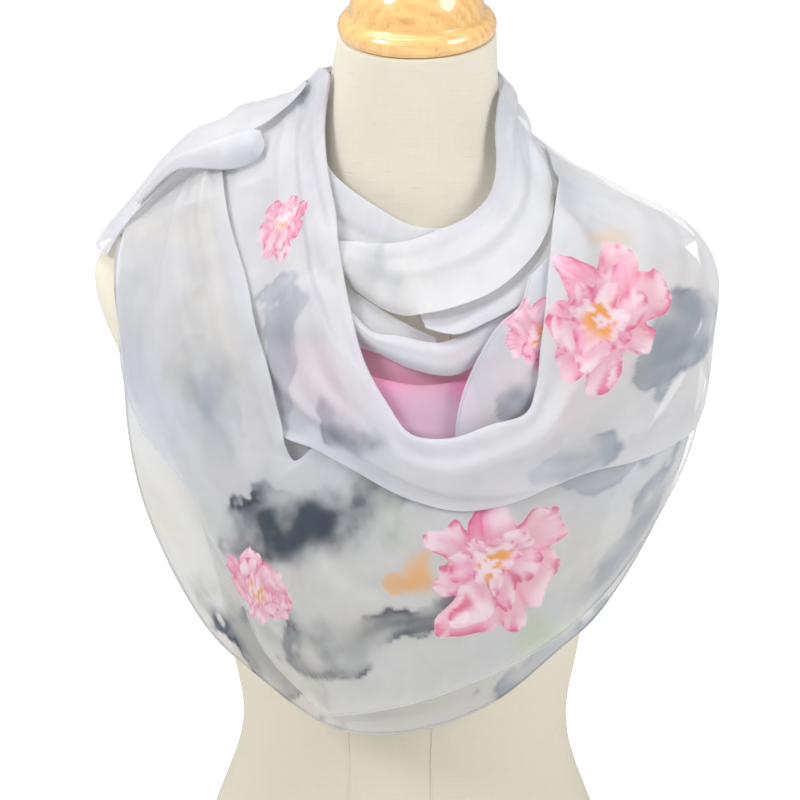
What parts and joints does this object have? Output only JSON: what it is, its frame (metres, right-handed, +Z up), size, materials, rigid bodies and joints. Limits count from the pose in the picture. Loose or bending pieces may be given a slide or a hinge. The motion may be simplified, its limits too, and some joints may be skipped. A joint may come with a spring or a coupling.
{
  "type": "chiffon scarf on a dress form",
  "caption": "Sheer rectangular scarf folded to a hanging corner, wound round the neck and shoulders of a limbless dress form that stands on its flat base.",
  "frame": {"origin": "centre of the flat underside of the dress form", "axes": "+Z up along the form, -Y the way its chest faces, +X to the right of a viewer who faces the chest"},
  "size_m": [0.4035, 0.2604, 0.7716],
  "materials": {
    "chiffon_pale": "sheer chiffon, soft white with grey-blue shade",
    "chiffon_slate": "sheer chiffon, slate-grey washes",
    "chiffon_pink": "sheer chiffon, pink blossoms",
    "form_linen": "cream linen stretched over a padded shell",
    "cap_wood": "clear-varnished light wood, turned"
  },
  "bodies": {
    "root": {"form_torso": "form_linen", "form_neck_cap": "cap_wood", "scarf_under_layer": "chiffon_slate", "scarf_cowl_bed": "chiffon_pink", "scarf_cowl_bed_fold": "chiffon_pink", "scarf_neck_left": "chiffon_pale", "scarf_inner_pleat": "chiffon_pale", "scarf_inner_roll": "chiffon_pale", "scarf_inner_fold": "chiffon_pale", "scarf_shoulder_right": "chiffon_slate", "scarf_neck_right": "chiffon_pale", "scarf_tucked_end": "chiffon_pale", "scarf_front_layer": "chiffon_pale", "scarf_cowl": "chiffon_pale", "scarf_shoulder_left": "chiffon_pale", "scarf_shoulder_tuck": "chiffon_pale"}
  },
  "joints": []
}
